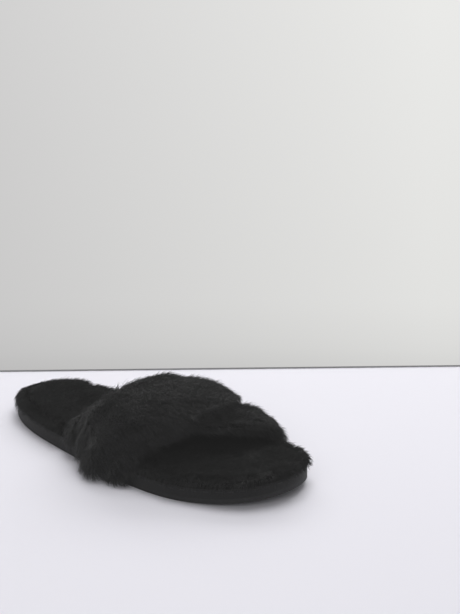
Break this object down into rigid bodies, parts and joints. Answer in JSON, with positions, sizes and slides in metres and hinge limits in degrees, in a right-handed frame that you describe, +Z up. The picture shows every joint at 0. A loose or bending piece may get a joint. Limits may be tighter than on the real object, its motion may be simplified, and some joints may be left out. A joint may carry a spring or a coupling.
{
  "type": "fluffy house slipper",
  "caption": "Open-toe, open-back house slipper for a right foot, with crossing faux-fur bands, a fur footbed and a thin flexible sole.",
  "frame": {"origin": "on the floor, under the middle of the outsole's flat stretch, at mid-length", "axes": "+Y to the toe, +X to the little-toe side, +Z up"},
  "size_m": [0.1205, 0.2676, 0.0585],
  "materials": {
    "black_fur": "matte",
    "lining": "matte",
    "interlining": "matte",
    "thread": "matte",
    "wrap": "matte",
    "satin": "satin",
    "board": "matte",
    "cushion_foam": "matte",
    "sole_foam": "matte",
    "sole_rubber": "matte"
  },
  "bodies": {
    "slipper": {"footbed_fur": "black_fur", "over_band_fur": "black_fur", "under_band_fur": "black_fur", "over_band_lining": "lining", "under_band_lining": "lining", "over_band_interlining": "interlining", "under_band_interlining": "interlining", "over_band_stitches": "thread", "under_band_stitches": "thread", "wrap_stitches": "thread", "sole_wrap": "wrap", "insole_board": "board", "footbed_foam": "cushion_foam", "midsole": "sole_foam", "outsole": "sole_rubber"},
    "label": {"label": "satin", "label_stitches": "thread"}
  },
  "joints": [
    {"name": "label_flap", "type": "hinge", "parent": "slipper", "child": "label", "pos_m": [-0.01756, -0.016, 0.03397], "axis": [0.0664, -0.9974, -0.028], "range_deg": [-10, 60]}
  ]
}
